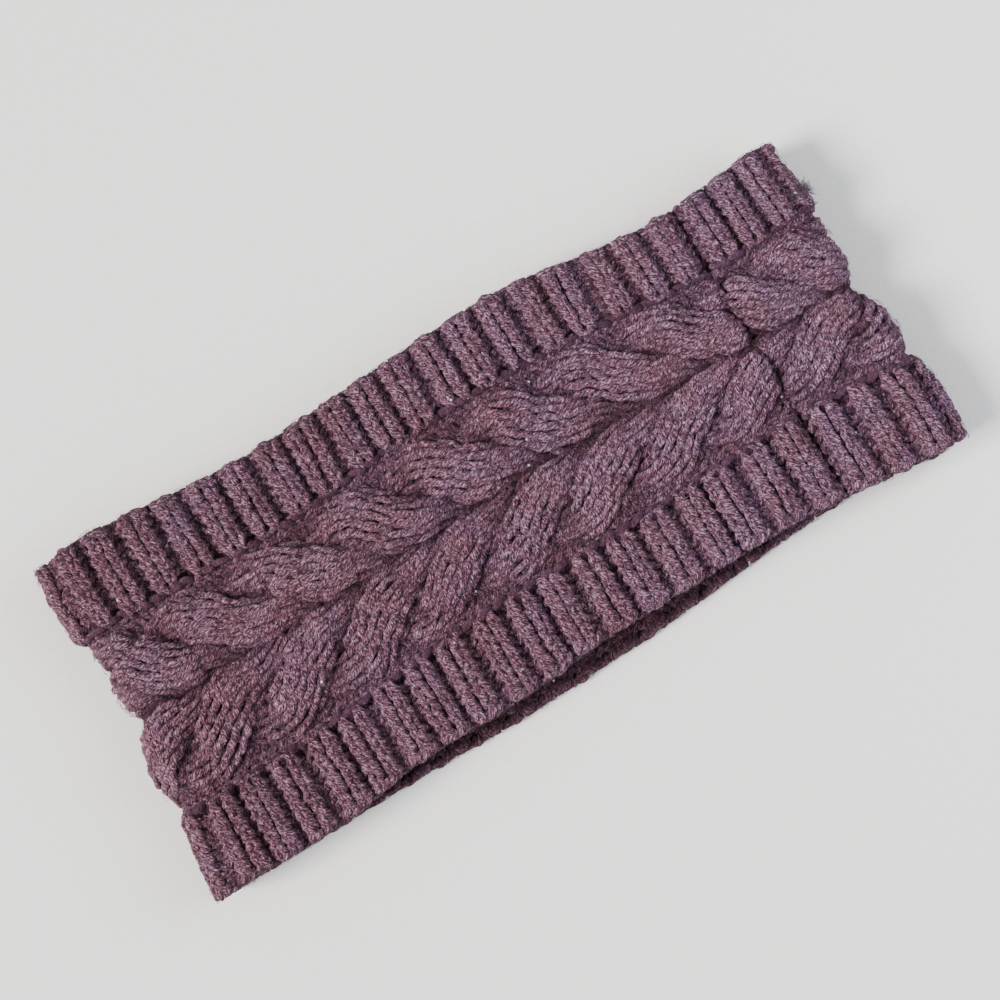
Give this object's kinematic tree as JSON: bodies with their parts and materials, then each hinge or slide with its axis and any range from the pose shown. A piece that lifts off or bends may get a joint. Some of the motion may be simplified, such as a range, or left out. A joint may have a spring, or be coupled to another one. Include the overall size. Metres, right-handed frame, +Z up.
{
  "type": "ear warmer headband",
  "caption": "Knitted ear warmer headband lying flat in two layers, with a wide plaited cable panel between ribbed borders and one seam across the band.",
  "frame": {"origin": "bottom centre of the bounding box, on the surface that the band lies on", "axes": "+X along the flat band towards the end with the seam, +Y across it towards the upper border, +Z up"},
  "size_m": [0.244, 0.1036, 0.0208],
  "materials": {
    "panel_yarn": "heathered mauve wool, matt and slightly fuzzy",
    "border_yarn": "heathered mauve wool, matt and slightly fuzzy"
  },
  "bodies": {
    "root": {"cable_panel": "panel_yarn", "rib_border_upper": "border_yarn", "rib_border_lower": "border_yarn", "join_seam": "border_yarn"}
  },
  "joints": []
}
